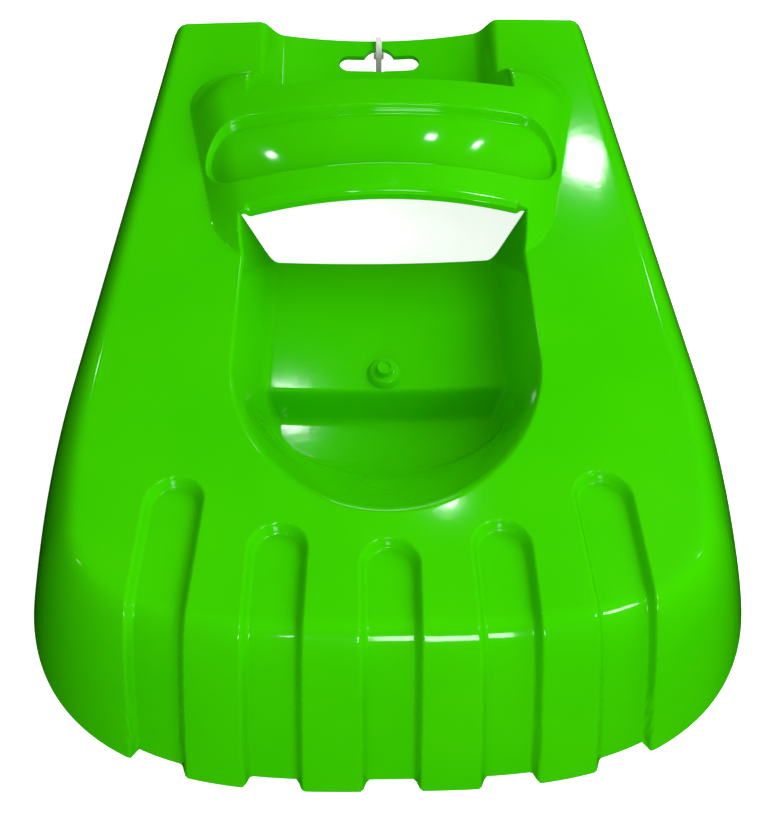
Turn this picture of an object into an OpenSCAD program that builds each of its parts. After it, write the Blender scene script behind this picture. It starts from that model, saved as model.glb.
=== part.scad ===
// Hand-held leaf scoop: one moulded claw with a hand pocket under a grip strap,
// and a nylon cable tie through its hang slot. Resting on its rim, open side down.

/* [Overall] */
// Width across the front corners
body_w = 274; // [240:1:330]
// Length from the finger tips to the wrist end
body_l = 327; // [310:1:395]
// Width across the wrist end, at the rim
rear_w = 188; // [175:1:230]
// Wall thickness of the moulding
wall = 2.5; // [2:0.1:3]

/* [Deck] */
// Height of the deck at the wrist end
rear_h = 50; // [44:1:62]
// Height of the deck above the fingers
front_h = 74; // [66:1:90]
// How far the deck drops from its middle to its sides
crown_h = 4; // [0:0.5:8]
// Width of the rounded shoulder at the wrist end
rear_shoulder_w = 15; // [10:1:22]
// Width of the rounded shoulder at the front corners
side_shoulder_w = 34; // [24:1:44]
// Width of the rounded front wall, in plan
front_shoulder_w = 60; // [44:1:66]

/* [Fingers] */
// Width of the five grooves between the fingers
groove_w = 19.5; // [15:1:25]
// Depth of the grooves
groove_d = 5; // [3:0.5:6]
// Width of each groove's side wall, in plan
groove_wall_w = 3; // [2:0.5:4]
// Distance between neighbouring grooves, 100 mm in front of the middle of the part
groove_pitch = 40; // [36:1:48]
// Length of the middle groove
groove_l = 67; // [50:1:70]

/* [Hand pocket] */
// Width of the pocket at its rim
pocket_w = 117; // [105:1:142]
// Length of the pocket's straight sides, in front of the grip strap
pocket_straight_l = 70; // [60:1:76]
// Length of the pocket's rounded front
pocket_round_l = 66; // [54:1:68]
// Height of the palm floor above the rim of the scoop
palm_z = 32; // [26:1:34]
// Depth of the finger well below the palm floor
well_d = 14; // [8:1:16]
// Slope of the pocket's side walls, rise over run
pocket_side_slope = 3.5; // [2.8:0.1:5]
// Slope of the pocket's front wall, rise over run
pocket_front_slope = 1.12; // [1.06:0.02:1.5]

/* [Grip strap] */
// Length of the strap, front to rear
strap_l = 60; // [48:1:64]
// Height of the strap's crown above the deck
strap_rise = 22; // [18:1:28]
// How far the strap drops from its middle to its front and rear edges
strap_crown = 2.5; // [0:0.5:4]
// Depth of the stiffening channel along the strap
channel_d = 5; // [3:0.5:7]
// Width of the stiffening channel
channel_w = 32; // [24:1:34]
// Height of the lip that the strap's front edge is turned down by
lip_h = 2.5; // [1.5:0.5:4]
// Width of the raised saddle that the strap grows out of
saddle_w = 146; // [140:1:156]

/* [Wrist band] */
// Length of the wrist band, from the strap to the wrist end
band_l = 52; // [46:1:62]
// Height of the wrist band's lowest line
band_z = 36; // [33:1:40]
// Width of the wrist band between its side walls
band_w = 86; // [76:1:92]
// Width of the hang slot
slot_w = 34; // [28:1:40]
// Height of the hang slot's side lobes
slot_h = 8; // [6:0.5:9]
// Radius of the hang slot's round middle lobe
lobe_r = 6.5; // [5:0.5:7.5]
// Width of the strip between the hang slot and the wrist end
strip_w = 4; // [3:0.5:6]

/* [Cable tie] */
// Width of the tie's strap
tie_w = 2.5; // [2.2:0.1:3.6]
// Thickness of the tie's strap
tie_t = 1.1; // [0.9:0.1:1.4]
// Inside height of the tie's loop
tie_loop_h = 17; // [14:1:24]
// Gap between the tie's loop and the edges of the strip that it hangs from
tie_gap = 0.6; // [0.4:0.1:1]

/* [Hidden] */
plastic = [0.17, 0.76, 0.02];
nylon = [0.86, 0.88, 0.84];

// Places along the part: its box runs from the finger tips to the back of the tie's head, with
// the origin in the middle
tie_r = norm([strip_w, wall]) / 2 + tie_gap;
head_t = 3.4;
tie_behind = tie_r + tie_t / 2 + head_t / 2 - strip_w / 2;
rear_y = (body_l - tie_behind) / 2;
tip_y = rear_y - body_l;
strap_rear_y = rear_y - band_l;
strap_front_y = strap_rear_y - strap_l;
strap_mid_y = (strap_rear_y + strap_front_y) / 2;
round_y = strap_front_y - pocket_straight_l;
pocket_tip_y = round_y - pocket_round_l;
step_l = 7;
step_y = round_y + 10.5;
corner_y = tip_y + body_w * 0.3;

// Outline of the rim
half_w = body_w / 2;
flare = (half_w + 2 - rear_w / 2) / (rear_y - corner_y - 20);
side_power = 3;
front_power = 2.3;

// The centre parts meet the flanks and the rake a little outside the pocket's rim
collar = 1.5;
seam_x = pocket_w / 2 + collar;
seam_b = pocket_round_l + collar;

function smin(a, b, k) = let (h = max(k - abs(a - b), 0) / k) min(a, b) - h * h * k / 4;
function smax(a, b, k) = -smin(-a, -b, k);
function clamp(v) = min(max(v, 0), 1);
function mix(a, b, f) = a + (b - a) * f;

// Half-width of the rim's outline, without its rounded front
function side_x(y) = smin(rear_w / 2 + flare * (rear_y - y), half_w, 8);

// 1 on the rim's outline and less inside it
function level(x, y) =
    pow(abs(x) / side_x(y), side_power)
    + pow(max(corner_y - y, 0) / (corner_y - tip_y), front_power);

// Slope of level(), by differences
function level_slope(x, y) =
    [level(x + 0.5, y) - level(x - 0.5, y), level(x, y + 0.5) - level(x, y - 0.5)];

// Distance inwards from the rim
function rim_distance(x, y) = (1 - level(x, y)) / max(norm(level_slope(x, y)), 0.0005);

// 1 where the rim faces the front, down to 0 where it faces the side
function facing(x, y) =
    let (g = level_slope(x, y))
    pow(clamp(-g[1] / max(norm(g), 0.0005)), 2);

// Width of the rounded shoulder: wider to the front
function shoulder_w(x, y) =
    let (side = mix(rear_shoulder_w, side_shoulder_w, clamp((rear_y - y) / (rear_y - corner_y))))
    mix(side, front_shoulder_w, facing(x, y));

// Grooves fan out from the middle: the centre line of groove i, from -2 to 2
groove_ref_y = -100;
groove_fan = 0.06;
function groove_x(i, y) = i * groove_pitch - i * groove_fan * (y - groove_ref_y);
function groove_end_y(i) = tip_y + groove_l - groove_w / 2 + 6.8 * i * i;

// Distance outside the edge of groove i, negative inside it
function groove_distance(i, x, y) =
    let (across = x - groove_x(i, y))
    let (behind = max(y - groove_end_y(i), 0))
    norm([across, behind]) - groove_w / 2;
function groove_mask(x, y) =
    let (d = min([for (i = [-2:2]) groove_distance(i, x, y)]))
    let (f = clamp(0.5 - d / groove_wall_w))
    f * f * (3 - 2 * f);

// Deck without its rounded edge
function deck_z(x, y) =
    mix(rear_h, front_h, smin(max((rear_y - y) / (rear_y - corner_y), 0), 1, 0.3))
    - crown_h * pow(x / half_w, 2);

// Top of the grip strap, carried on over the saddle
function strap_z(x, y) =
    let (f = clamp((strap_rear_y - y) / strap_l))
    let (t = (y - strap_mid_y) / (strap_l / 2))
    deck_z(0, y) + strap_rise - mix(7, 13, f) * pow(x / 58, 2) - strap_crown * min(t * t, 1.6);

// Distance outside the raised saddle's outline
saddle_front_y = strap_front_y - 21;
saddle_rear_y = strap_rear_y + 21;
saddle_r = 22;
function saddle_distance(x, y) =
    let (taper = 10.5 * (y - strap_mid_y) / strap_l)
    let (qx = abs(x) - (saddle_w / 2 + taper) + saddle_r)
    let (qy = abs(y - (saddle_front_y + saddle_rear_y) / 2)
              - (saddle_rear_y - saddle_front_y) / 2 + saddle_r)
    norm([max(qx, 0), max(qy, 0)]) + min(max(qx, qy), 0) - saddle_r;
function saddle_rise(x, y) =
    let (f = 1 - clamp(-saddle_distance(x, y) / 15))
    max(strap_z(x, y) - deck_z(x, y), 3) * (1 - pow(f, 2.4));

// Power of the shoulder's curve: rounder at the front
function shoulder_power(x, y) = mix(3, 2.6, facing(x, y));

// Outside of the moulding before the pocket and the wrist band are sunk into it
function top_z(x, y) =
    let (g = groove_d * groove_mask(x, y))
    let (f = 1 - clamp((rim_distance(x, y) - g) / shoulder_w(x, y)))
    (deck_z(x, y) - g) * (1 - pow(f, shoulder_power(x, y))) + saddle_rise(x, y);

// Hand pocket: flat palm floor, step, deeper finger well, and the walls up to the rim
function pocket_half(y) = pocket_w / 2 - max(y - round_y, 0) * 0.06;
function pocket_floor(x, y) =
    let (f = clamp((step_y - y) / step_l))
    palm_z + 2 * pow(x / 45, 2) - 2 - well_d * f * f * (3 - 2 * f);
well_z = palm_z - well_d;
pocket_rise = deck_z(0, round_y) + 1 - well_z;
foot_b = pocket_round_l - pocket_rise / pocket_front_slope;
function pocket_z(x, y) =
    let (half = pocket_half(y))
    let (ahead = max(round_y - y, 0))
    let (rim = max(norm([x / half, ahead / pocket_round_l]), 0.001))
    let (foot = norm([x / (half - pocket_rise / pocket_side_slope), ahead / foot_b]))
    let (up = rim * (foot - 1) / max(foot - rim, 0.0002))
    smax(mix(well_z, deck_z(x, y) + 1, up), pocket_floor(x, y), 7);

// Wrist band: shallow dish between two side walls
function band_floor(x, y) = band_z + 5 * pow(2 * x / band_w, 2);
function band_cut_z(x, y) =
    let (slope = mix(2.6, 1.6, clamp((y - strap_rear_y) / band_l)))
    smax(band_floor(x, y), band_z + 5 + (abs(x) - band_w / 2) * slope, 4);

// Channel along the strap, with round ends
function channel_depth(x, y) =
    let (across = norm([max(abs(x) - saddle_w / 2 + channel_w / 2 + 2, 0), y - strap_mid_y + 1]))
    let (f = clamp((channel_w / 2 - across) / 2.5))
    channel_d * f * f * (3 - 2 * f);

// Lip along the strap's front edge, over the pocket only
function lip_depth(x, y) =
    let (f = clamp(1 - (y - strap_front_y) / 3))
    let (over = clamp((pocket_half(strap_front_y) - abs(x)) / 2))
    lip_h * f * f * over;

// Outer surface in each zone: the pocket and rake, the grip strap, the wrist band, the flanks
POCKET = 0;
STRAP = 1;
BAND = 2;
FLANK = 3;
function outer_z(x, y, zone) =
    zone == POCKET ? smin(top_z(x, y), pocket_z(x, y), 2.5)
    : zone == STRAP ? top_z(x, y) - channel_depth(x, y) - lip_depth(x, y)
    : zone == BAND ? smin(top_z(x, y), band_cut_z(x, y), 4)
    : top_z(x, y) - channel_depth(x, y);

// Outward normal of the outer surface
function outer_normal(x, y, zone) =
    let (e = 0.25)
    let (dx = (outer_z(x + e, y, zone) - outer_z(x - e, y, zone)) / (2 * e))
    let (dy = (outer_z(x, y + e, zone) - outer_z(x, y - e, zone)) / (2 * e))
    [-dx, -dy, 1] / norm([dx, dy, 1]);

// One wall of the moulding over a grid of plan points. Its inside lies square to the outside at the
// rim and straight below it elsewhere, so that it never folds over itself at a sharp edge
module sheet(grid, zone) {
    rows = len(grid);
    cols = len(grid[0]);
    outer = [for (row = grid, p = row) [p[0], p[1], max(outer_z(p[0], p[1], zone), 0)]];
    inner = [for (p = outer)
        let (n = outer_normal(p[0], p[1], zone))
        let (f = clamp(rim_distance(p[0], p[1]) / 12))
        let (q = p - wall * mix(n, [0, 0, 1 / n[2]], f))
        [q[0], q[1], max(q[2], 0)]];
    n = rows * cols;
    top = [for (i = [0:rows - 2], j = [0:cols - 2], half = [0, 1])
        let (a = i * cols + j)
        half == 0 ? [a, a + cols, a + cols + 1] : [a, a + cols + 1, a + 1]];
    under = [for (f = top) [f[2] + n, f[1] + n, f[0] + n]];
    rim = concat(
        [for (j = [0:cols - 2]) j],
        [for (i = [0:rows - 2]) i * cols + cols - 1],
        [for (j = [cols - 1:-1:1]) (rows - 1) * cols + j],
        [for (i = [rows - 1:-1:1]) i * cols]);
    m = len(rim);
    sides = [for (k = [0:m - 1], half = [0, 1])
        let (a = rim[k])
        let (b = rim[(k + 1) % m])
        half == 0 ? [a, b, b + n] : [a, b + n, a + n]];
    polyhedron(points = concat(outer, inner), faces = concat(top, under, sides));
}

// Rows of the centre parts, shared with the flanks
band_rows = [for (f = [0, 0.12, 0.25, 0.38, 0.5, 0.6, 0.7, 0.8, 0.9, 1]) rear_y - f * band_l];
strap_rows = [for (f = [0, 0.05, 0.12, 0.22, 0.27, 0.33, 0.45, 0.57, 0.69, 0.75, 0.81, 0.89, 0.95, 0.975, 1])
    strap_rear_y - f * strap_l];
pocket_rows = [for (f = [0, 0.07, 0.15, 0.24, 0.34, 0.46, 0.6, 0.74, 0.84, 0.9, 0.95, 1])
    strap_front_y - f * pocket_straight_l];

// Columns of the rake: x where each crosses the reference line, its slope, and how far it leans
// over to the side of the rim, from 0 to 1, or to -1 on the left
edge_in = groove_w / 2 - groove_wall_w / 2;
edge_out = groove_w / 2 + groove_wall_w / 2;
function groove_columns(i) =
    [for (s = [-edge_out, -edge_in, 0, edge_in, edge_out]) [i * groove_pitch + s, i * groove_fan, 0]];
corner_column = [seam_x + 0.1 * (round_y - groove_ref_y), 0.1, 0];
function between(a, b, fractions) = [for (f = fractions) mix(a, b, f)];
half_columns = concat(
    [[0, 0, 0], [edge_in, 0, 0], [edge_out, 0, 0], [groove_pitch / 2, groove_fan / 2, 0]],
    groove_columns(1),
    between([groove_pitch + edge_out, groove_fan, 0], corner_column, [0.4, 0.75, 1]),
    groove_columns(2),
    [for (f = [0.14, 0.28, 0.41, 0.53, 0.64, 0.74, 0.82, 0.89, 0.95, 1])
        [2 * groove_pitch + edge_out, 2 * groove_fan, f]]);
last = len(half_columns) - 1;
columns = concat([for (k = [last:-1:1]) -half_columns[k]], half_columns);
function column_x(c, y) = (1 - abs(c[2])) * (c[0] - c[1] * (y - groove_ref_y)) + c[2] * side_x(y);

// Where a column leaves the pocket's seam, and where it meets the rim
function seam_y(x) = round_y - seam_b * sqrt(max(1 - pow(x / seam_x, 2), 0));
function column_start(c, y = pocket_tip_y, n = 8) =
    n == 0 ? y : column_start(c, seam_y(column_x(c, y)), n - 1);
function rim_gap(c, y) = level(column_x(c, y), y) - 1;
function column_end(c, lo, hi, n = 24) =
    let (y = (lo + hi) / 2)
    n == 0 ? y : (rim_gap(c, y) > 0 ? column_end(c, y, hi, n - 1) : column_end(c, lo, y, n - 1));
function tip_of(c, start) =
    let (y = column_end(c, tip_y - 1, start))
    y + groove_d * groove_mask(column_x(c, y), y) / max(0.6, -level_slope(column_x(c, y), y)[1]
        / norm(level_slope(column_x(c, y), y)));

seamed = [for (c = columns) if (abs(column_x(c, round_y)) < seam_x - 0.01) c];
seam_points = concat(
    [[-seam_x, round_y]],
    [for (c = seamed) let (y = column_start(c)) [column_x(c, y), y]],
    [[seam_x, round_y]]);

// Plan grid of a centre part: straight rows across the pocket's width
function straight_grid(rows) = [for (y = rows) [for (p = seam_points) [p[0], y]]];

module finger_rake() {
    fractions = [0, 0.06, 0.13, 0.2, 0.27, 0.34, 0.41, 0.48, 0.55, 0.62, 0.69, 0.76, 0.82, 0.87,
                 0.91, 0.945, 0.97, 0.988, 1];
    starts = [for (c = columns)
        abs(column_x(c, round_y)) < seam_x - 0.01 ? column_start(c) : round_y];
    tips = [for (k = [0:len(columns) - 1]) tip_of(columns[k], starts[k])];
    grid = [for (f = fractions) [for (k = [0:len(columns) - 1])
        let (y = mix(starts[k], tips[k], f)) [column_x(columns[k], y), y]]];
    color(plastic) sheet(grid, POCKET);
}

// Side of the scoop, from the wrist end to the rake
module flank() {
    fractions = [0, 0.06, 0.12, 0.18, 0.24, 0.3, 0.36, 0.45, 0.55, 0.65, 0.74, 0.82, 0.88,
                 0.93, 0.965, 0.985, 1];
    rows = concat(band_rows, [for (k = [1:len(strap_rows) - 1]) strap_rows[k]],
                  [for (k = [1:len(pocket_rows) - 1]) pocket_rows[k]]);
    sheet([for (y = rows) [for (f = fractions) [mix(seam_x, side_x(y), f), y]]], FLANK);
}

module left_flank() {
    color(plastic) mirror([1, 0, 0]) flank();
}

module right_flank() {
    color(plastic) flank();
}

module hand_pocket() {
    fractions = [0.1, 0.2, 0.3, 0.42, 0.54, 0.66, 0.76, 0.85, 0.92, 0.97, 1];
    round_rows = [for (f = fractions) concat(
        [mix(seam_points[0], seam_points[1], 0.9 * f)],
        [for (k = [1:len(seam_points) - 2]) [seam_points[k][0], mix(round_y, seam_points[k][1], f)]],
        [mix(seam_points[len(seam_points) - 1], seam_points[len(seam_points) - 2], 0.9 * f)])];
    color(plastic) sheet(concat(straight_grid(pocket_rows), round_rows), POCKET);
}

module grip_strap() {
    color(plastic) sheet(straight_grid(strap_rows), STRAP);
}

// Hang slot: a round lobe between two side lobes
module hang_slot() {
    lobe_y = rear_y - strip_w - lobe_r;
    side_y = lobe_y - 2;
    translate([0, 0, band_z - 10]) linear_extrude(20) union() {
        translate([0, lobe_y]) circle(lobe_r, $fn = 48);
        translate([0, side_y]) square([slot_w - slot_h, slot_h], center = true);
        for (s = [-1, 1]) translate([s * (slot_w - slot_h) / 2, side_y]) circle(slot_h / 2, $fn = 48);
    }
}

module wrist_band() {
    color(plastic) difference() {
        sheet(straight_grid(band_rows), BAND);
        hang_slot();
    }
}

// Gate left on the palm floor: a round pedestal with a short stub
stub_y = step_y + 7;
module gate_stub() {
    foot_z = pocket_floor(0, stub_y) + 0.1;
    color(plastic) translate([0, stub_y, foot_z]) rotate_extrude($fn = 48)
        polygon([[0, 0], [7, 0], [5.4, 2.6], [3.4, 2.6], [3.1, 5.4], [2.1, 5.4], [1.9, 4.8], [0, 4.8]]);
}

// Cable tie: an upright loop round the strip behind the hang slot
tie_y = rear_y - strip_w / 2;
tie_axis_z = band_z - wall / 2;
tie_low_z = tie_axis_z - tie_loop_h + 2 * tie_r;
module loop_outline(grow) {
    translate([tie_low_z, 0]) circle(tie_r + grow, $fn = 48);
    translate([tie_axis_z, 0]) circle(tie_r + grow, $fn = 48);
    translate([tie_low_z, -tie_r - grow]) square([tie_axis_z - tie_low_z, 2 * (tie_r + grow)]);
}

// Turns an outline drawn in Z and Y into a slab of a given width across X
module slab(width) {
    translate([-width / 2, tie_y, 0]) rotate([0, -90, 0]) mirror([0, 0, 1]) linear_extrude(width)
        children();
}

head_w = tie_w + 2;
head_h = 4.4;
module tie_strap() {
    color(nylon) difference() {
        slab(tie_w) difference() {
            loop_outline(tie_t);
            loop_outline(0);
        }
        head_block();
    }
}

module head_block() {
    translate([-head_w / 2, tie_y + tie_r + tie_t / 2 - head_t / 2, tie_low_z])
        cube([head_w, head_t, head_h]);
}

module tie_head() {
    color(nylon) head_block();
}

finger_rake();
left_flank();
right_flank();
hand_pocket();
grip_strap();
wrist_band();
gate_stub();
tie_strap();
tie_head();
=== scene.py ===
import math

import bmesh
import bpy
import numpy as np
from mathutils import Matrix, Vector, geometry, kdtree


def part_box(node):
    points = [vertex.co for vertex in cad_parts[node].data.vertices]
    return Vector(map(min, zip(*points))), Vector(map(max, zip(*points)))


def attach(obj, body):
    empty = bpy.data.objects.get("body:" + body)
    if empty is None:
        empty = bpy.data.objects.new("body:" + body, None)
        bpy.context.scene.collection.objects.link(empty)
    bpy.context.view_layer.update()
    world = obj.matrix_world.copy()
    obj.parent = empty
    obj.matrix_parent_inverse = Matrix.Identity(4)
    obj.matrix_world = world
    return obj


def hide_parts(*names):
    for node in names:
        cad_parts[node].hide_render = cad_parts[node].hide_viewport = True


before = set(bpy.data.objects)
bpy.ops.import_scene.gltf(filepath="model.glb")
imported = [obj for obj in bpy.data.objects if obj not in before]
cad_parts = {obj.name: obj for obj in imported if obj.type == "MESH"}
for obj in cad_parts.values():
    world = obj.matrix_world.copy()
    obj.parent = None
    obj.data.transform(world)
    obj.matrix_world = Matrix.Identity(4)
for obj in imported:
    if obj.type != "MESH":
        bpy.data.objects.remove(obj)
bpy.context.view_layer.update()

bl_info = {
    "name": "Hand-held Leaf Scoop",
    "version": (1, 0, 0),
    "blender": (4, 5, 0),
    "location": "View3D > Sidebar > Leaf Scoop",
    "description": "Builds a moulded leaf scoop, its cable tie and a plain studio round their CAD frame",
    "category": "Object",
}

MM = 0.001


# ---------------------------------------------------------------- settings

def length(label, text, mm):
    """A length in metres, given here in millimetres."""
    return bpy.props.FloatProperty(name=label, description=text, default=mm * MM, min=0.0,
                                   unit="LENGTH", precision=4)


def number(label, text, value):
    """A plain number with no unit."""
    return bpy.props.FloatProperty(name=label, description=text, default=value, min=0.0, precision=3)


class ScoopMouldingSettings(bpy.types.PropertyGroup):
    """Sizes of the green moulding."""
    body_w: length("Body Width", "Width across the front corners", 274)
    body_l: length("Body Length", "Length from the finger tips to the wrist end", 327)
    behind: length("Tie Behind", "How far the tie stands out behind the wrist end", 3.2085)
    rear_w: length("Rear Width", "Width across the wrist end, at the rim", 188)
    wall: length("Wall", "Wall thickness of the moulding", 2.5)
    rear_h: length("Rear Height", "Height of the deck at the wrist end", 50)
    front_h: length("Front Height", "Height of the deck above the fingers", 74)
    crown_h: length("Crown", "Drop of the deck from its middle to its sides", 4)
    rear_shoulder: length("Rear Shoulder", "Width of the shoulder at the wrist end", 15)
    side_shoulder: length("Side Shoulder", "Width of the shoulder at the front corners", 34)
    front_shoulder: length("Front Shoulder", "Width of the rounded front wall, in plan", 60)
    groove_w: length("Groove Width", "Width of the grooves between the fingers", 19.5)
    groove_d: length("Groove Depth", "Depth of the grooves", 5)
    groove_wall: length("Groove Wall", "Width of a groove's side wall, in plan", 3)
    groove_pitch: length("Groove Pitch", "Distance between neighbouring grooves", 40)
    groove_l: length("Groove Length", "Length of the middle groove", 67)
    groove_fan: number("Groove Fan", "How fast the grooves spread to the front", 0.06)
    pocket_w: length("Pocket Width", "Width of the hand pocket at its rim", 117)
    pocket_straight: length("Pocket Sides", "Length of the pocket's straight sides", 70)
    pocket_round: length("Pocket Front", "Length of the pocket's rounded front", 66)
    palm_z: length("Palm Height", "Height of the palm floor", 32)
    well_d: length("Well Depth", "Depth of the finger well below the palm floor", 14)
    step_l: length("Step Length", "Length of the step down to the finger well", 7)
    side_slope: number("Side Slope", "Slope of the pocket's side walls", 3.5)
    front_slope: number("Front Slope", "Slope of the pocket's front wall", 1.12)
    strap_l: length("Strap Length", "Length of the grip strap, front to rear", 60)
    strap_rise: length("Strap Rise", "Height of the strap's crown above the deck", 22)
    strap_crown: length("Strap Crown", "Drop of the strap from its middle to its front and rear edges", 2.5)
    channel_d: length("Channel Depth", "Depth of the channel along the strap", 5)
    channel_w: length("Channel Width", "Width of the channel along the strap", 32)
    lip_h: length("Lip", "Height of the strap's turned-down front edge", 2.5)
    saddle_w: length("Saddle Width", "Width of the saddle that the strap grows out of", 146)
    band_l: length("Band Length", "Length of the wrist band", 52)
    band_z: length("Band Height", "Height of the wrist band's lowest line", 36)
    band_w: length("Band Width", "Width of the wrist band between its side walls", 86)
    slot_w: length("Slot Width", "Width of the hang slot", 34)
    slot_h: length("Slot Height", "Height of the hang slot's side lobes", 8)
    lobe_r: length("Lobe Radius", "Radius of the hang slot's middle lobe", 6.5)
    strip_w: length("Strip Width", "Width of the strip behind the hang slot", 4)
    fine: length("Fine Spacing", "Spacing of points where the surface turns", 0.9)
    coarse: length("Coarse Spacing", "Spacing of points where the surface is even", 3.2)


class ScoopTieSettings(bpy.types.PropertyGroup):
    """Sizes of the cable tie."""
    width: length("Strap Width", "Width of the tie's strap", 2.5)
    thickness: length("Strap Thickness", "Thickness of the tie's strap", 1.1)
    loop_h: length("Loop Height", "Inside height of the loop", 17)
    gap: length("Gap", "Gap between the loop and the edges of the strip it hangs from", 0.6)


class ScoopStageSettings(bpy.types.PropertyGroup):
    """The studio: camera, floor and lights."""
    azimuth: bpy.props.FloatProperty(name="Azimuth", description="Camera angle round the object",
                                     default=math.radians(-1.27), subtype="ANGLE")
    elevation: bpy.props.FloatProperty(name="Elevation", description="Camera angle above the floor",
                                       default=math.radians(59.5), subtype="ANGLE")
    roll: bpy.props.FloatProperty(name="Roll", description="Camera roll",
                                  default=math.radians(0.4), subtype="ANGLE")
    distance: length("Distance", "Distance from the camera to the middle of the object", 838.8)
    lens: number("Focal Length", "Focal length on a 36 mm wide sensor, in millimetres", 95.3)
    sky: number("Sky", "Brightness of the even light from all round", 0.36)


# ---------------------------------------------------------------- small helpers

def smin(a, b, k):
    """The lesser of two values, blended where they are within k of each other."""
    h = np.maximum(k - np.abs(a - b), 0) / k
    return np.minimum(a, b) - h * h * k / 4


def smax(a, b, k):
    """The greater of two values, blended as in smin."""
    return -smin(-a, -b, k)


def clamp(v):
    return np.clip(v, 0, 1)


def mix(a, b, f):
    return a + (b - a) * f


def smooth(f):
    return f * f * (3 - 2 * f)


# ---------------------------------------------------------------- shape of the moulding

SIDE_POWER = 3         # power of the rim's outline across
FRONT_POWER = 2.3      # power of the rim's outline ahead: a little squarer than an ellipse
SIDE_CURVE = 3         # power of the shoulder's curve at the sides
FRONT_CURVE = 2.6      # and at the front, where it is rounder
THICKENING_REACH = 12  # from here inwards the wall is measured straight down


class Form:
    """The moulding's outside as a height over plan, in millimetres."""

    def __init__(self, settings):
        for key in settings.__annotations__:
            value = getattr(settings, key)
            plain = key in ("groove_fan", "side_slope", "front_slope")
            setattr(self, key, round(value, 6) if plain else round(value / MM, 4))
        self.rear_y = (self.body_l - self.behind) / 2
        self.tip_y = self.rear_y - self.body_l
        self.strap_rear = self.rear_y - self.band_l
        self.strap_front = self.strap_rear - self.strap_l
        self.strap_mid = (self.strap_rear + self.strap_front) / 2
        self.round_y = self.strap_front - self.pocket_straight
        self.step_y = self.round_y + 10.5
        self.corner_y = self.tip_y + self.body_w * 0.3
        self.half_w = self.body_w / 2
        self.flare = (self.half_w + 2 - self.rear_w / 2) / (self.rear_y - self.corner_y - 20)

    # the rim
    def side_x(self, y):
        """Half the rim's width, without its rounded front."""
        return smin(self.rear_w / 2 + self.flare * (self.rear_y - y), self.half_w, 8)

    def level(self, x, y):
        """1 on the outline of the rim and less inside it."""
        across = (np.abs(x) / self.side_x(y)) ** SIDE_POWER
        ahead = np.maximum(self.corner_y - y, 0) / (self.corner_y - self.tip_y)
        return across + ahead ** FRONT_POWER

    def level_slope(self, x, y):
        return (self.level(x + 0.5, y) - self.level(x - 0.5, y),
                self.level(x, y + 0.5) - self.level(x, y - 0.5))

    def rim(self, x, y):
        """Distance in from the rim before it is notched, and how far the place faces the front."""
        gx, gy = self.level_slope(x, y)
        n = np.maximum(np.hypot(gx, gy), 0.0005)
        return (1 - self.level(x, y)) / n, clamp(-gy / n)

    # the fingers
    def groove(self, x, y):
        """How deep the nearest of the five grooves is."""
        d = np.full(np.shape(x), 1e3)
        for i in range(-2, 3):
            centre = i * self.groove_pitch - i * self.groove_fan * (y + 100)
            end = self.tip_y + self.groove_l - self.groove_w / 2 + 6.8 * i * i
            d = np.minimum(d, np.hypot(x - centre, np.maximum(y - end, 0)) - self.groove_w / 2)
        return self.groove_d * smooth(clamp(0.5 - d / self.groove_wall))

    def inside(self, x, y):
        """Distance in from the notched rim."""
        return self.rim(x, y)[0] - self.groove(x, y)

    # the deck and the saddle
    def deck(self, x, y):
        run = smin(np.maximum((self.rear_y - y) / (self.rear_y - self.corner_y), 0), 1, 0.3)
        return mix(self.rear_h, self.front_h, run) - self.crown_h * (x / self.half_w) ** 2

    def strap(self, x, y):
        f = clamp((self.strap_rear - y) / self.strap_l)
        t = (y - self.strap_mid) / (self.strap_l / 2)
        sag = mix(7, 13, f) * (x / 58) ** 2 + self.strap_crown * np.minimum(t * t, 1.6)
        return self.deck(0, y) + self.strap_rise - sag

    def saddle(self, x, y):
        front, rear, r = self.strap_front - 21, self.strap_rear + 21, 22
        qx = np.abs(x) - (self.saddle_w / 2 + 10.5 * (y - self.strap_mid) / self.strap_l) + r
        qy = np.abs(y - (front + rear) / 2) - (rear - front) / 2 + r
        d = np.hypot(np.maximum(qx, 0), np.maximum(qy, 0)) + np.minimum(np.maximum(qx, qy), 0) - r
        f = 1 - clamp(-d / 15)
        return np.maximum(self.strap(x, y) - self.deck(x, y), 3) * (1 - f ** 2.4)

    def top(self, x, y):
        """The deck with its grooves, shoulder and saddle, before anything is sunk into it."""
        g = self.groove(x, y)
        d, facing = self.rim(x, y)
        front = facing * facing
        run = clamp((self.rear_y - y) / (self.rear_y - self.corner_y))
        side = mix(self.rear_shoulder, self.side_shoulder, run)
        f = 1 - clamp((d - g) / mix(side, self.front_shoulder, front))
        return (self.deck(x, y) - g) * (1 - f ** mix(SIDE_CURVE, FRONT_CURVE, front)) + self.saddle(x, y)

    # what is sunk into it
    def pocket_half(self, y):
        return self.pocket_w / 2 - np.maximum(y - self.round_y, 0) * 0.06

    def floor(self, x, y):
        drop = self.well_d * smooth(clamp((self.step_y - y) / self.step_l))
        return self.palm_z + 2 * (x / 45) ** 2 - 2 - drop

    def pocket(self, x, y):
        """The pocket's walls, ruled between its rim and its foot, over its floor."""
        well_z = self.palm_z - self.well_d
        rise = self.deck(0, self.round_y) + 1 - well_z
        ahead = np.maximum(self.round_y - y, 0)
        half = self.pocket_half(y)
        rim = np.maximum(np.hypot(x / half, ahead / self.pocket_round), 0.001)
        foot_half = half - rise / self.side_slope
        foot_round = self.pocket_round - rise / self.front_slope
        foot = np.hypot(x / foot_half, ahead / foot_round)
        up = rim * (foot - 1) / np.maximum(foot - rim, 0.0002)
        return smax(mix(well_z, self.deck(x, y) + 1, up), self.floor(x, y), 7)

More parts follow.
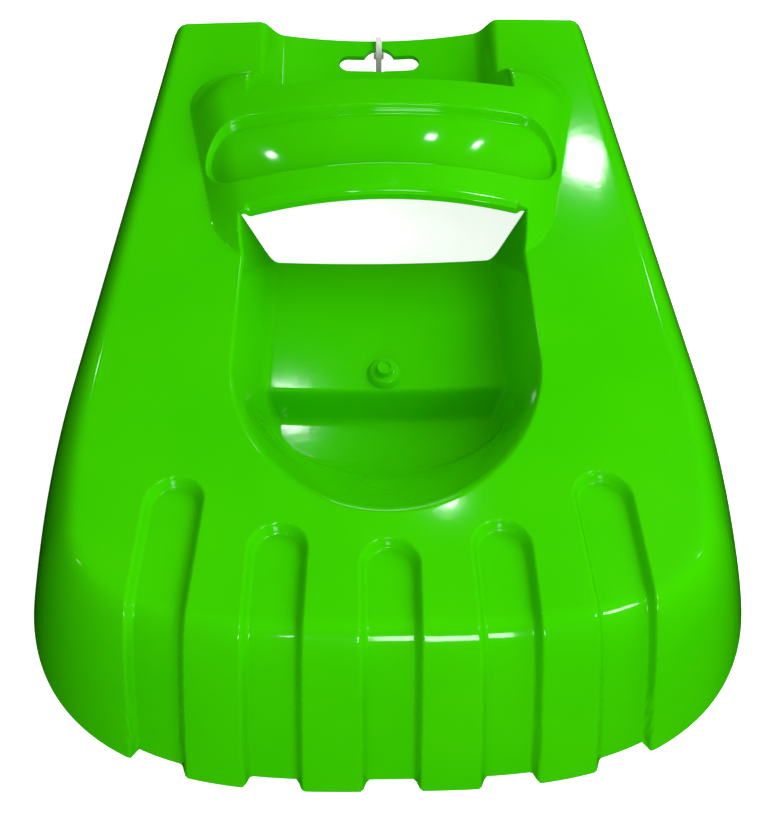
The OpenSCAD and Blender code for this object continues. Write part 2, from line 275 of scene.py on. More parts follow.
    def band(self, x, y):
        slope = mix(2.6, 1.6, clamp((y - self.strap_rear) / self.band_l))
        dish = self.band_z + 5 * (2 * x / self.band_w) ** 2
        return smax(dish, self.band_z + 5 + (np.abs(x) - self.band_w / 2) * slope, 4)

    def channel(self, x, y):
        reach = self.saddle_w / 2 - self.channel_w / 2 - 2
        across = np.hypot(np.maximum(np.abs(x) - reach, 0), y - self.strap_mid + 1)
        return self.channel_d * smooth(clamp((self.channel_w / 2 - across) / 2.5))

    def lip(self, x, y):
        f = clamp(1 - (y - self.strap_front) / 3)
        return self.lip_h * f * f * clamp((self.pocket_half(self.strap_front) - np.abs(x)) / 2)

    def height(self, x, y, zone):
        """Zone 0 is the pocket and all before the strap, 1 the strap, 2 the wrist band."""
        top = self.top(x, y)
        front = smin(top, self.pocket(x, y), 2.5)
        strap = top - self.channel(x, y) - self.lip(x, y)
        rear = smin(top, self.band(x, y), 4)
        return np.maximum(np.where(zone == 0, front, np.where(zone == 1, strap, rear)), 0)

    def normal(self, x, y, zone):
        """Outward normals of the outside, by differences."""
        e = 0.2
        dx = (self.height(x + e, y, zone) - self.height(x - e, y, zone)) / (2 * e)
        dy = (self.height(x, y + e, zone) - self.height(x, y - e, zone)) / (2 * e)
        n = np.stack([-dx, -dy, np.ones_like(dx)], axis=1)
        return n / np.linalg.norm(n, axis=1)[:, None]


# ---------------------------------------------------------------- points of the moulding, in plan

# distances in from the rim at which rings of points follow it
RIM_STEPS = (0.35, 0.8, 1.4, 2.1, 3.0, 4.0, 5.2, 6.6, 8.2, 10.0)
TURN_WANTED = 0.13  # how far the surface may turn from one point to the next
GROWTH = 1.5        # from one spacing of the field's points to the next


def resample(line, spacing):
    """Points at about even spacing along a line, with its two ends kept."""
    s = np.concatenate([[0], np.cumsum(np.hypot(*np.diff(line, axis=0).T))])
    t = np.linspace(0, s[-1], max(int(round(s[-1] / spacing)), 1) + 1)
    return np.stack([np.interp(t, s, line[:, 0]), np.interp(t, s, line[:, 1])], axis=1)


def half_rim(form):
    """The right half of the rim before it is notched, from the middle finger to the wrist end."""
    t = np.linspace(math.pi / 2, 0, 1500)
    ahead = np.sin(t) ** (2 / FRONT_POWER)
    y = form.corner_y - ahead * (form.corner_y - form.tip_y)
    x = form.side_x(y) * np.clip(np.cos(t), 0, 1) ** (2 / SIDE_POWER)
    side_y = np.linspace(form.corner_y, form.rear_y, 400)[1:]
    line = np.concatenate([np.stack([x, y], 1), np.stack([form.side_x(side_y), side_y], 1)])
    line = resample(line, 1.15)
    for cut in (form.strap_front, form.strap_rear):
        k = int(np.argmin(np.abs(line[:, 1] - cut)))
        line[k] = [form.side_x(cut), cut]
    return line


def step_in(form, base, depth):
    """Moves points of the rim inwards until they lie at a depth behind the notched rim."""
    gx, gy = form.level_slope(base[:, 0], base[:, 1])
    inward = -np.stack([gx, gy], 1) / np.hypot(gx, gy)[:, None]
    p = base + inward * depth
    for _ in range(12):
        p = p + inward * (depth - form.inside(p[:, 0], p[:, 1]))[:, None]
    return p


def both_sides(points):
    """Right-hand points joined by their mirror image; those on the middle line are kept once."""
    left = points[points[:, 0] > 1e-6] * [-1, 1]
    return np.concatenate([left[::-1], points])


def arc(cx, cy, r, a0, a1, spacing=0.45):
    n = max(int(abs(a1 - a0) * r / spacing), 2)
    a = np.linspace(a0, a1, n + 1)
    return np.stack([cx + r * np.cos(a), cy + r * np.sin(a)], 1)


def slot_outline(form):
    """The hang slot's outline: a round lobe between two side lobes, anticlockwise."""
    lobe_y = form.rear_y - form.strip_w - form.lobe_r
    side_y, r, reach = lobe_y - 2, form.slot_h / 2, (form.slot_w - form.slot_h) / 2
    up = side_y + r - lobe_y
    down = side_y - r - lobe_y
    high = math.asin(up / form.lobe_r)
    low = math.asin(max(down / form.lobe_r, -1))
    right = arc(reach, side_y, r, -math.pi / 2, math.pi / 2)
    top = arc(0, lobe_y, form.lobe_r, high, math.pi - high)
    left = arc(-reach, side_y, r, math.pi / 2, 1.5 * math.pi)
    foot = arc(0, lobe_y, form.lobe_r, math.pi - low, 2 * math.pi + low)
    bridge = [resample(np.array([a[-1], b[0]]), 0.8)[1:-1] for a, b in
              ((right, top), (top, left), (left, foot), (foot, right))]
    return np.concatenate([right, bridge[0], top, bridge[1], left, bridge[2], foot, bridge[3]])


def hexagons(form, spacing):
    """A hexagonal field of points over the whole plan."""
    w = form.half_w + 2
    cols = np.arange(0, w, spacing)
    points = []
    for k, y in enumerate(np.arange(form.tip_y, form.rear_y, spacing * 0.866)):
        x = cols + (spacing / 2 if k % 2 else 0)
        points.append(np.stack([x, np.full_like(x, y)], 1))
    return both_sides(np.concatenate(points))


def zone_of(form, y):
    return np.where(y < form.strap_front, 0, np.where(y < form.strap_rear, 1, 2))


def bend_map(form):
    """How fast the surface turns, per millimetre of plan, on a one-millimetre grid."""
    xs = np.arange(-form.half_w - 3, form.half_w + 4)
    ys = np.arange(form.tip_y - 3, form.rear_y + 4)
    gx, gy = np.meshgrid(xs, ys)
    zone = zone_of(form, gy.ravel())
    n = form.normal(gx.ravel(), gy.ravel(), zone).reshape(len(ys), len(xs), 3)
    turn = np.zeros(gx.shape)
    dx = np.linalg.norm(n[:, 1:] - n[:, :-1], axis=2)
    turn[:, 1:] = np.maximum(turn[:, 1:], dx)
    turn[:, :-1] = np.maximum(turn[:, :-1], dx)
    same = (zone.reshape(gx.shape)[1:] == zone.reshape(gx.shape)[:-1])
    dy = np.linalg.norm(n[1:] - n[:-1], axis=2) * same
    turn[1:] = np.maximum(turn[1:], dy)
    turn[:-1] = np.maximum(turn[:-1], dy)
    wide = turn.copy()
    for sy in (-1, 0, 1):
        for sx in (-1, 0, 1):
            wide = np.maximum(wide, np.roll(np.roll(turn, sy, 0), sx, 1))
    return xs, ys, wide


def thin_out(kept, extra, gap):
    """The extra points that lie further than a gap from all those kept."""
    tree = kdtree.KDTree(len(kept))
    for i, p in enumerate(kept):
        tree.insert((p[0], p[1], 0), i)
    tree.balance()
    far = [tree.find((p[0], p[1], 0))[2] > gap for p in extra]
    return extra[np.array(far, bool)]


def plan_points(form):
    """All points of the moulding in plan, and the edges that its faces keep to."""
    base = half_rim(form)
    edge = both_sides(step_in(form, base, 0.0))
    edge[0], edge[-1] = [-form.side_x(form.rear_y), form.rear_y], [form.side_x(form.rear_y), form.rear_y]
    for cut in (form.strap_front, form.strap_rear):
        for side in (-1, 1):
            k = int(np.argmin(np.hypot(edge[:, 0] - side * form.side_x(cut), edge[:, 1] - cut)))
            edge[k] = [side * form.side_x(cut), cut]

    def cross_line(y, close):
        reach = form.side_x(y)
        steps = reach - np.array(RIM_STEPS)
        inner = np.arange(0, reach - RIM_STEPS[-1] - close, close)
        x = np.unique(np.concatenate([inner, steps]))
        return both_sides(np.stack([x, np.full_like(x, y)], 1))

    rear = cross_line(form.rear_y, 1.0)[::-1]
    loop = np.concatenate([edge, rear])
    front_slit = cross_line(form.strap_front, 1.0)
    rear_slit = cross_line(form.strap_rear, 1.0)
    slot = slot_outline(form)
    n_edge = len(edge)
    fixed = [loop, slot, front_slit, rear_slit]
    start = np.cumsum([0] + [len(f) for f in fixed])
    edges = [(i, (i + 1) % len(loop)) for i in range(len(loop))]
    edges += [(start[1] + i, start[1] + (i + 1) % len(slot)) for i in range(len(slot))]
    for k, cut in ((2, form.strap_front), (3, form.strap_rear)):
        ids = list(range(start[k], start[k + 1]))
        ends = [int(np.argmin(np.hypot(loop[:n_edge, 0] - s * form.side_x(cut), loop[:n_edge, 1] - cut)))
                for s in (-1, 1)]
        ids = [ends[0]] + ids + [ends[1]]
        edges += list(zip(ids[:-1], ids[1:]))
    points = np.concatenate(fixed)
    guard = points

    rings = np.concatenate([both_sides(step_in(form, base, d)) for d in RIM_STEPS])
    lines = (form.strap_front, form.strap_rear)
    near_line = np.min([np.abs(rings[:, 1] - y) for y in lines], axis=0) < 0.45
    rings = rings[~near_line & (rings[:, 1] < form.rear_y - 0.4)]
    clear = grow(slot, 1.6)
    slot_rings = np.concatenate([grow(slot, d) for d in (0.5, 1.2)])
    points = np.concatenate([points, thin_out(guard, rings, 0.22), slot_rings])

    # the field: close points where the surface turns, wide ones where it is even
    xs, ys, turn = bend_map(form)
    spacing = form.fine
    widest = form.coarse * 1.01
    while spacing < widest:
        field = hexagons(form, spacing)
        depth = form.inside(field[:, 0], field[:, 1])
        field = field[(depth > RIM_STEPS[-1] + 0.4) & (field[:, 1] < form.rear_y - 0.5)]
        field = field[~in_outline(field, clear)]
        ix = np.clip(np.searchsorted(xs, field[:, 0]) - 1, 0, len(xs) - 1)
        iy = np.clip(np.searchsorted(ys, field[:, 1]) - 1, 0, len(ys) - 1)
        wanted = TURN_WANTED / np.maximum(turn[iy, ix], 1e-4)
        last = spacing * GROWTH >= widest
        field = field[(wanted < spacing * GROWTH) | last]
        points = np.concatenate([points, thin_out(points, field, spacing * 0.62)])
        spacing *= GROWTH
    return points, edges, len(loop), slot


def grow(outline, distance):
    """An anticlockwise outline moved outwards."""
    ahead = np.roll(outline, -1, 0) - np.roll(outline, 1, 0)
    out = np.stack([ahead[:, 1], -ahead[:, 0]], 1) / np.maximum(np.hypot(*ahead.T), 1e-9)[:, None]
    return outline + out * distance


def in_outline(points, outline):
    """Which points lie inside a closed outline."""
    inside = np.zeros(len(points), bool)
    nxt = np.roll(outline, -1, 0)
    for (x0, y0), (x1, y1) in zip(outline, nxt):
        if y0 == y1:
            continue
        spans = (points[:, 1] >= min(y0, y1)) & (points[:, 1] < max(y0, y1))
        cross = x0 + (points[:, 1] - y0) * (x1 - x0) / (y1 - y0)
        inside ^= spans & (points[:, 0] < cross)
    return inside


def plan_faces(form):
    """The moulding in plan: points and triangles, without the hang slot's hole."""
    points, edges, n_loop, slot = plan_points(form)
    pairs = [tuple(map(int, e)) for e in edges]
    made = geometry.delaunay_2d_cdt([Vector(p) for p in points], pairs, [], 0, 1e-5)
    xy = np.array([tuple(v) for v in made[0]])
    faces = np.array([f for f in made[2] if len(f) == 3], int)
    came = [min(o) if o else 10 ** 9 for o in made[3]]
    on_loop = np.array(came) < n_loop
    on_slot = (np.array(came) >= n_loop) & (np.array(came) < n_loop + len(slot))
    centre = xy[faces].mean(axis=1)
    keep = np.ones(len(faces), bool)
    doubt = on_loop[faces].all(axis=1)
    keep[doubt] = in_outline(centre[doubt], points[:n_loop])
    doubt = on_slot[faces].all(axis=1)
    keep[doubt] &= ~in_outline(centre[doubt], slot)
    faces = faces[keep]
    a, b, c = xy[faces[:, 0]], xy[faces[:, 1]], xy[faces[:, 2]]
    area = (b[:, 0] - a[:, 0]) * (c[:, 1] - a[:, 1]) - (b[:, 1] - a[:, 1]) * (c[:, 0] - a[:, 0])
    faces[area < 0] = faces[area < 0][:, ::-1]
    return xy, faces[np.abs(area) > 1e-9]


def shell(form):
    """The moulding's closed mesh: points in millimetres, triangles, and a normal for each corner."""
    xy, faces = plan_faces(form)
    zone = zone_of(form, xy[faces].mean(axis=1)[:, 1])
    # one vertex for each point and zone, joined again where neighbouring zones agree
    key = faces * 3 + zone[:, None]
    used, index = np.unique(key.ravel(), return_inverse=True)
    vx, vz = xy[used // 3], used % 3
    z = form.height(vx[:, 0], vx[:, 1], vz)
    order = np.arange(len(used))
    same = np.where((used[1:] // 3 == used[:-1] // 3) & (np.abs(z[1:] - z[:-1]) < 1e-3))[0]
    for k in same:
        order[k + 1] = order[k]
    faces = order[index.ravel()].reshape(-1, 3)
    used_now, faces = np.unique(faces.ravel(), return_inverse=True)
    faces = faces.reshape(-1, 3)
    vx, vz, z = vx[used_now], vz[used_now], z[used_now]
    depth = form.rim(vx[:, 0], vx[:, 1])[0]
    # the foot of the rim takes the slope of the wall just above it
    inward = step_towards(form, vx, 0.25)
    n = form.normal(inward[:, 0], inward[:, 1], vz)
    deep = form.inside(vx[:, 0], vx[:, 1]) > 0.3
    n[deep] = form.normal(vx[deep, 0], vx[deep, 1], vz[deep])
    outer = np.column_stack([vx, z])
    f = clamp(depth / THICKENING_REACH)[:, None]
    down = np.zeros_like(n)
    down[:, 2] = 1 / n[:, 2]
    inner = outer - form.wall * mix(n, down, f)
    inner[:, 2] = np.maximum(inner[:, 2], 0)
    count = len(outer)
    # the open edges, walked so that each wall between outside and inside faces outwards
    lines = np.concatenate([faces[:, [0, 1]], faces[:, [1, 2]], faces[:, [2, 0]]])
    code = lines[:, 0] * count + lines[:, 1]
    back = lines[:, 1] * count + lines[:, 0]
    rim = lines[~np.isin(code, back)]
    a, b = rim[:, 0], rim[:, 1]
    walls = np.concatenate([np.stack([b, a, a + count], 1), np.stack([b, a + count, b + count], 1)])
    points = np.concatenate([outer, inner])
    side = points[b] - points[a]
    drop = points[a + count] - points[a]
    flat = np.cross(drop, side)
    flat = flat / np.maximum(np.linalg.norm(flat, axis=1), 1e-9)[:, None]
    all_faces = np.concatenate([faces, faces[:, ::-1] + count, walls])
    wall_n = np.repeat(np.concatenate([flat, flat])[:, None, :], 3, axis=1)
    corner = np.concatenate([n[faces], -n[faces[:, ::-1]], wall_n])
    return points, all_faces, corner


def step_towards(form, p, distance):
    """Plan points moved straight in from the rim."""
    gx, gy = form.level_slope(p[:, 0], p[:, 1])
    g = np.maximum(np.hypot(gx, gy), 1e-6)
    return p - np.stack([gx / g, gy / g], 1) * distance


# ---------------------------------------------------------------- making objects

def mesh_object(name, points_mm, faces, normals=None):
    """A smooth object of points in millimetres, with a normal for each corner if they are given."""
    mesh = bpy.data.meshes.new(name)
    mesh.from_pydata((np.asarray(points_mm) * MM).tolist(), [], [list(map(int, f)) for f in faces])
    mesh.update()
    mesh.shade_smooth()
    if normals is not None:
        mesh.normals_split_custom_set(normals.reshape(-1, 3).tolist())
    obj = bpy.data.objects.new(name, mesh)
    bpy.context.scene.collection.objects.link(obj)
    return obj


def lathe(name, profile, centre, segments=64):
    """A turned solid: its profile runs in radius and height from axis to axis, in millimetres."""
    bm = bmesh.new()
    rings = []
    for r, z in profile:
        if r == 0:
            rings.append([bm.verts.new((0, 0, z * MM))])
            continue
        rings.append([bm.verts.new((r * MM * math.cos(2 * math.pi * k / segments),
                                    r * MM * math.sin(2 * math.pi * k / segments), z * MM))
                      for k in range(segments)])
    for low, high in zip(rings[:-1], rings[1:]):
        for k in range(segments):
            after = k + 1
            corners = [low[k % len(low)], low[after % len(low)], high[after % len(high)], high[k % len(high)]]
            bm.faces.new(list(dict.fromkeys(corners)))
    bmesh.ops.recalc_face_normals(bm, faces=bm.faces)
    bmesh.ops.translate(bm, verts=bm.verts, vec=Vector(centre) * MM)
    mesh = bpy.data.meshes.new(name)
    bm.to_mesh(mesh)
    bm.free()
    mesh.shade_smooth()
    mesh.set_sharp_from_angle(angle=math.radians(40))
    obj = bpy.data.objects.new(name, mesh)
    bpy.context.scene.collection.objects.link(obj)
    return obj


def to_linear(text):
    """The linear colour of an sRGB hex code."""
    out = []
    for k in (0, 2, 4):
        c = int(text[k:k + 2], 16) / 255
        out.append(c / 12.92 if c <= 0.04045 else ((c + 0.055) / 1.055) ** 2.4)
    return (*out, 1.0)


def add_node(tree, kind, inputs=None, **props):
    """A node with its properties and plain input values set."""
    node = tree.nodes.new(kind)
    for key, value in props.items():
        setattr(node, key, value)
    for key, value in (inputs or {}).items():
        node.inputs[key].default_value = value
    return node


def plastic_material():
    """Polypropylene, high-gloss injection moulding, lime green with a faint flow pattern."""
    material = bpy.data.materials.new("polypropylene_gloss_moulded")
    material.use_nodes = True
    tree = material.node_tree
    tree.nodes.clear()
    coords = add_node(tree, "ShaderNodeTexCoord")
    flow = add_node(tree, "ShaderNodeTexNoise", {"Scale": 18.0, "Detail": 3.0, "Roughness": 0.5})
    ramp = add_node(tree, "ShaderNodeMix", data_type="RGBA")
    ramp.inputs["A"].default_value = to_linear("2CB800")
    ramp.inputs["B"].default_value = to_linear("3EC400")
    skin = add_node(tree, "ShaderNodeTexNoise", {"Scale": 260.0, "Detail": 2.0, "Roughness": 0.5})
    bump = add_node(tree, "ShaderNodeBump", {"Strength": 0.05, "Distance": 0.0002})
    gloss = add_node(tree, "ShaderNodeMapRange", {"To Min": 0.05, "To Max": 0.08})
    shader = add_node(tree, "ShaderNodeBsdfPrincipled",
                      {"IOR": 1.49, "Subsurface Weight": 0.0, "Specular IOR Level": 0.5})
    out = add_node(tree, "ShaderNodeOutputMaterial")
    link = tree.links.new
    link(coords.outputs["Object"], flow.inputs["Vector"])
    link(coords.outputs["Object"], skin.inputs["Vector"])
    link(flow.outputs["Fac"], ramp.inputs["Factor"])
    link(flow.outputs["Fac"], gloss.inputs["Value"])
    link(ramp.outputs["Result"], shader.inputs["Base Color"])
    link(gloss.outputs["Result"], shader.inputs["Roughness"])
    link(skin.outputs["Fac"], bump.inputs["Height"])
    link(bump.outputs["Normal"], shader.inputs["Normal"])
    link(shader.outputs["BSDF"], out.inputs["Surface"])
    return material


def nylon_material():
    """Polyamide 6.6 in its natural colour, slightly clear."""
    material = bpy.data.materials.new("polyamide_natural_moulded")
    material.use_nodes = True
    tree = material.node_tree
    tree.nodes.clear()
    coords = add_node(tree, "ShaderNodeTexCoord")
    cloud = add_node(tree, "ShaderNodeTexNoise", {"Scale": 400.0, "Detail": 2.0})
    tint = add_node(tree, "ShaderNodeMix", data_type="RGBA")
    tint.inputs["A"].default_value = to_linear("D9DBD2")
    tint.inputs["B"].default_value = to_linear("E6E8E0")
    shader = add_node(tree, "ShaderNodeBsdfPrincipled",
                      {"IOR": 1.53, "Roughness": 0.35, "Subsurface Weight": 0.25, "Subsurface Scale": 0.002})
    out = add_node(tree, "ShaderNodeOutputMaterial")
    link = tree.links.new
    link(coords.outputs["Object"], cloud.inputs["Vector"])
    link(cloud.outputs["Fac"], tint.inputs["Factor"])
    link(tint.outputs["Result"], shader.inputs["Base Color"])
    link(shader.outputs["BSDF"], out.inputs["Surface"])
    return material


def floor_material():
    """Matt white paper sweep."""
    material = bpy.data.materials.new("paper_matt_white")
    material.use_nodes = True
    tree = material.node_tree
    tree.nodes.clear()
    shader = add_node(tree, "ShaderNodeBsdfPrincipled",
                      {"Base Color": (0.92, 0.92, 0.92, 1), "Roughness": 0.9, "Specular IOR Level": 0.1,
                       "Emission Color": (1, 1, 1, 1), "Emission Strength": 0.75})
    out = add_node(tree, "ShaderNodeOutputMaterial")
    tree.links.new(shader.outputs["BSDF"], out.inputs["Surface"])
    return material


def material_named(name, make):
    return bpy.data.materials.get(name) or make()


# ---------------------------------------------------------------- the tie's strap, by geometry nodes

def tie_nodes(material):
    """A tree that sweeps a flat strap with rounded edges along a closed curve."""
    tree = bpy.data.node_groups.new("tie_strap_sweep", "GeometryNodeTree")
    tree.interface.new_socket("Geometry", in_out="INPUT", socket_type="NodeSocketGeometry")
    for label, value in (("Width", 0.0025), ("Thickness", 0.0011)):
        socket = tree.interface.new_socket(label, in_out="INPUT", socket_type="NodeSocketFloat")
        socket.default_value = value
    tree.interface.new_socket("Geometry", in_out="OUTPUT", socket_type="NodeSocketGeometry")
    source = add_node(tree, "NodeGroupInput")
    sink = add_node(tree, "NodeGroupOutput")
    curve = add_node(tree, "GeometryNodeMeshToCurve")
    profile = add_node(tree, "GeometryNodeCurvePrimitiveQuadrilateral")
    round_ = add_node(tree, "GeometryNodeFilletCurve", {"Radius": 0.00022, "Count": 3}, mode="POLY")
    sweep = add_node(tree, "GeometryNodeCurveToMesh", {"Fill Caps": True})
    shade = add_node(tree, "GeometryNodeSetShadeSmooth", {"Shade Smooth": False})
    paint = add_node(tree, "GeometryNodeSetMaterial", {"Material": material})
    link = tree.links.new
    link(source.outputs["Geometry"], curve.inputs["Mesh"])
    link(source.outputs["Width"], profile.inputs["Width"])
    link(source.outputs["Thickness"], profile.inputs["Height"])
    link(profile.outputs["Curve"], round_.inputs["Curve"])
    link(curve.outputs["Curve"], sweep.inputs["Curve"])
    link(round_.outputs["Curve"], sweep.inputs["Profile Curve"])
    link(sweep.outputs["Mesh"], shade.inputs["Geometry"])
    link(shade.outputs["Geometry"], paint.inputs["Geometry"])
    link(paint.outputs["Geometry"], sink.inputs["Geometry"])
    return tree


def loop_points(tie, form):
    """The tie's centre line in its upright plane, in millimetres: a slot-shaped loop."""
    inside = math.hypot(form.strip_w, form.wall) / 2 + tie.gap / MM
    r = inside + tie.thickness / MM / 2
    top = form.band_z - form.wall / 2
    low = top - (tie.loop_h / MM - 2 * inside)
    y = form.rear_y - form.strip_w / 2
    high = arc(y, top, r, 0, math.pi, 0.4)
    foot = arc(y, low, r, math.pi, 2 * math.pi, 0.4)
    ring = np.concatenate([high, foot])
    return np.column_stack([np.zeros(len(ring)), ring[:, 0], ring[:, 1]])


# ---------------------------------------------------------------- operators

class SCOOP_OT_moulding(bpy.types.Operator):
    """Build the green moulding"""
    bl_idname = "scoop.moulding"
    bl_label = "Moulding"

    def execute(self, context):
        form = Form(context.scene.scoop_moulding)
        points, faces, normals = shell(form)
        obj = mesh_object("scoop_moulding", points, faces, normals)
        obj.data.materials.append(material_named("polypropylene_gloss_moulded", plastic_material))
        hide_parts("finger_rake", "left_flank", "right_flank", "hand_pocket", "grip_strap",
                    "wrist_band")
        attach(obj, "scoop")
        return {"FINISHED"}


# radius and height of a pedestal with a short hollow-topped stub, sunk a little into the palm floor
STUB_PROFILE = [(0, -0.6), (7.3, -0.6), (7, 0), (6.6, 0.7), (5.7, 2.3), (5.3, 2.6), (3.5, 2.6),
                (3.25, 2.9), (3.1, 5.1), (2.8, 5.4), (2.3, 5.4), (2.05, 5.2), (1.9, 4.8), (0, 4.8)]


class SCOOP_OT_gate_stub(bpy.types.Operator):
    """Build the gate stub on the palm floor"""
    bl_idname = "scoop.gate_stub"
    bl_label = "Gate Stub"

    def execute(self, context):
        form = Form(context.scene.scoop_moulding)
        y = form.step_y + 7
        z = float(form.floor(np.array([0.0]), np.array([y]))[0]) + 0.1
        obj = lathe("gate_stub_turned", STUB_PROFILE, (0, y, z))
        obj.data.materials.append(material_named("polypropylene_gloss_moulded", plastic_material))
        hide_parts("gate_stub")
        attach(obj, "scoop")
        return {"FINISHED"}


class SCOOP_OT_tie(bpy.types.Operator):
    """Build the cable tie"""
    bl_idname = "scoop.tie"
    bl_label = "Cable Tie"

    def execute(self, context):
        tie = context.scene.scoop_tie
        form = Form(context.scene.scoop_moulding)
        nylon = material_named("polyamide_natural_moulded", nylon_material)
        ring = loop_points(tie, form) * MM
        line = bpy.data.meshes.new("tie_centre_line")
        n = len(ring)
        line.from_pydata(ring.tolist(), [(k, (k + 1) % n) for k in range(n)], [])
        guide = bpy.data.objects.new("tie_guide", line)
        context.scene.collection.objects.link(guide)
        tree = tie_nodes(nylon)
        modifier = guide.modifiers.new("strap", "NODES")
        modifier.node_group = tree
        names = {s.name: s.identifier for s in tree.interface.items_tree if s.in_out == "INPUT"}
        modifier[names["Width"]] = tie.width
        modifier[names["Thickness"]] = tie.thickness
        graph = context.evaluated_depsgraph_get()
        mesh = bpy.data.meshes.new_from_object(guide.evaluated_get(graph))
        bpy.data.objects.remove(guide)
        strap = bpy.data.objects.new("tie_strap_toothed", mesh)
        context.scene.collection.objects.link(strap)
        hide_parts("tie_strap")
        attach(strap, "tie")

        low, high = (np.array(v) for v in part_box("tie_head"))
        bm = bmesh.new()
        size = high - low
        middle = (high + low) / 2
        bmesh.ops.create_cube(bm, size=1.0, matrix=Matrix.Translation(middle) @ Matrix.Diagonal((*size, 1)))
        bmesh.ops.bevel(bm, geom=bm.edges[:], offset=0.0004, segments=3, profile=0.5, affect="EDGES")
        bmesh.ops.recalc_face_normals(bm, faces=bm.faces)
        block = bpy.data.meshes.new("tie_head_moulded")
        bm.to_mesh(block)
        bm.free()
        block.shade_smooth()
        block.set_sharp_from_angle(angle=math.radians(40))
        head = bpy.data.objects.new("tie_head_moulded", block)
        context.scene.collection.objects.link(head)
        head.data.materials.append(nylon)
        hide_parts("tie_head")
        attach(head, "tie")
        return {"FINISHED"}


def soft_box(name, turn, raised, far, width, height, power):
    """A rectangular area light that faces the object: turn is clockwise from the rear, in degrees."""
    a, e = math.radians(turn), math.radians(raised)
    place = Vector((math.sin(a) * math.cos(e), math.cos(a) * math.cos(e), math.sin(e))) * far
    data = bpy.data.lights.new(name, "AREA")
    data.shape = "RECTANGLE"
    data.size, data.size_y, data.energy = width, height, power
    lamp = bpy.data.objects.new(name, data)
    lamp.location = place
    lamp.rotation_mode = "QUATERNION"
    lamp.rotation_quaternion = (-place).to_track_quat("-Z", "Y")
    bpy.context.scene.collection.objects.link(lamp)
    return lamp


def aimed_camera(stage):
    """The camera, aimed at the middle of the object from the stage's angles."""
    a, e, r = stage.azimuth, stage.elevation, stage.roll
    back = Vector((math.sin(a) * math.cos(e), -math.cos(a) * math.cos(e), math.sin(e)))
    right = Vector((math.cos(a), math.sin(a), 0))
    up = right.cross(-back)
    turned = right * math.cos(r) + up * math.sin(r)
    up = up * math.cos(r) - right * math.sin(r)
    data = bpy.data.cameras.new("camera")
    data.sensor_width, data.lens = 36, stage.lens
    data.clip_start, data.clip_end = 0.01, 50
    camera = bpy.data.objects.new("camera", data)
    place = Vector(AIM) * MM + back * stage.distance
    camera.matrix_world = Matrix((
        (turned.x, up.x, back.x, place.x), (turned.y, up.y, back.y, place.y),
        (turned.z, up.z, back.z, place.z), (0, 0, 0, 1)))
    bpy.context.scene.collection.objects.link(camera)
    return camera


AIM = (-0.74, -25.3, 40)  # where the camera looks, in millimetres
FLOOR_REACH = 4000
FLOOR_Z = -0.3            # just under the rim
# each light: turn and height in degrees, distance, width and height in metres, and power in watts
# broad lights that fill the shadows and aren't mirrored in the gloss
FILLS = (
    (62, 48, 1.5, 1.1, 1.1, 17),
    (-150, 62, 1.6, 1.2, 1.2, 4),
    (165, 22, 1.6, 1.4, 0.7, 9),
)
# small panes that the gloss mirrors
PANES = (
    (15, 40, 1.5, 0.05, 0.04, 0.25),
    (29, 39, 1.5, 0.03, 0.05, 0.18),
    (8, 60, 1.5, 0.02, 0.03, 0.1),
    (82, 38, 1.5, 0.05, 0.20, 0.2),
    (-82, 38, 1.5, 0.05, 0.20, 0.2),
    (0, 12, 1.5, 0.50, 0.16, 1.2),
    (138, 42, 1.5, 0.26, 0.26, 3.2),
    (174, 24, 1.5, 0.30, 0.24, 3.4),
    (-172, 29, 1.5, 0.06, 0.04, 0.2),
    (-34, 40, 1.5, 0.05, 0.04, 0.2),
)


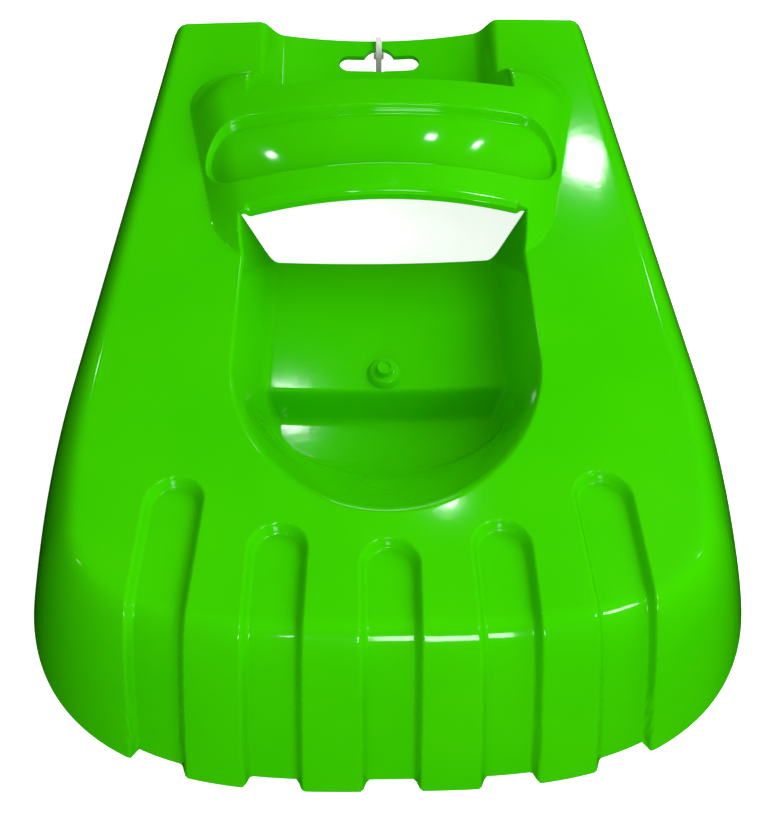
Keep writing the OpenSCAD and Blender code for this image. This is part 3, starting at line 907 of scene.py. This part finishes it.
class SCOOP_OT_stage(bpy.types.Operator):
    """Build the floor, the lights and the camera"""
    bl_idname = "scoop.stage"
    bl_label = "Stage"

    def execute(self, context):
        stage = context.scene.scoop_stage
        signs = ((-1, -1), (1, -1), (1, 1), (-1, 1))
        corners = [[x * FLOOR_REACH, y * FLOOR_REACH, FLOOR_Z] for x, y in signs]
        paper = mesh_object("paper_floor", corners, [(0, 1, 2, 3)])
        paper.data.materials.append(material_named("paper_matt_white", floor_material))
        paper.visible_glossy = False
        paper.visible_diffuse = False

        world = bpy.data.worlds.new("even_studio")
        world.use_nodes = True
        world.node_tree.nodes["Background"].inputs["Color"].default_value = (1, 1, 1, 1)
        world.node_tree.nodes["Background"].inputs["Strength"].default_value = stage.sky
        context.scene.world = world
        world.cycles_visibility.glossy = False
        for k, fill in enumerate(FILLS):
            lamp = soft_box(f"softbox_fill_{k}", *fill)
            lamp.visible_glossy = False
        for k, pane in enumerate(PANES):
            soft_box(f"softbox_pane_{k}", *pane)

        context.scene.camera = aimed_camera(stage)
        context.scene.view_settings.view_transform = "Standard"
        return {"FINISHED"}


class SCOOP_PT_panel(bpy.types.Panel):
    """Buttons that build the scoop and its studio"""
    bl_idname = "SCOOP_PT_panel"
    bl_label = "Leaf Scoop"
    bl_space_type = "VIEW_3D"
    bl_region_type = "UI"
    bl_category = "Leaf Scoop"

    def draw(self, context):
        for operator in OPERATORS:
            self.layout.operator(operator.bl_idname)


OPERATORS = (SCOOP_OT_moulding, SCOOP_OT_gate_stub, SCOOP_OT_tie, SCOOP_OT_stage)
CLASSES = (ScoopMouldingSettings, ScoopTieSettings, ScoopStageSettings, *OPERATORS, SCOOP_PT_panel)


def register():
    for cls in CLASSES:
        bpy.utils.register_class(cls)
    bpy.types.Scene.scoop_moulding = bpy.props.PointerProperty(type=ScoopMouldingSettings)
    bpy.types.Scene.scoop_tie = bpy.props.PointerProperty(type=ScoopTieSettings)
    bpy.types.Scene.scoop_stage = bpy.props.PointerProperty(type=ScoopStageSettings)


def unregister():
    del bpy.types.Scene.scoop_moulding
    del bpy.types.Scene.scoop_tie
    del bpy.types.Scene.scoop_stage
    for cls in reversed(CLASSES):
        bpy.utils.unregister_class(cls)


def main():
    register()
    bpy.ops.scoop.moulding()
    bpy.ops.scoop.gate_stub()
    bpy.ops.scoop.tie()
    bpy.ops.scoop.stage()


if __name__ == "__main__":
    main()
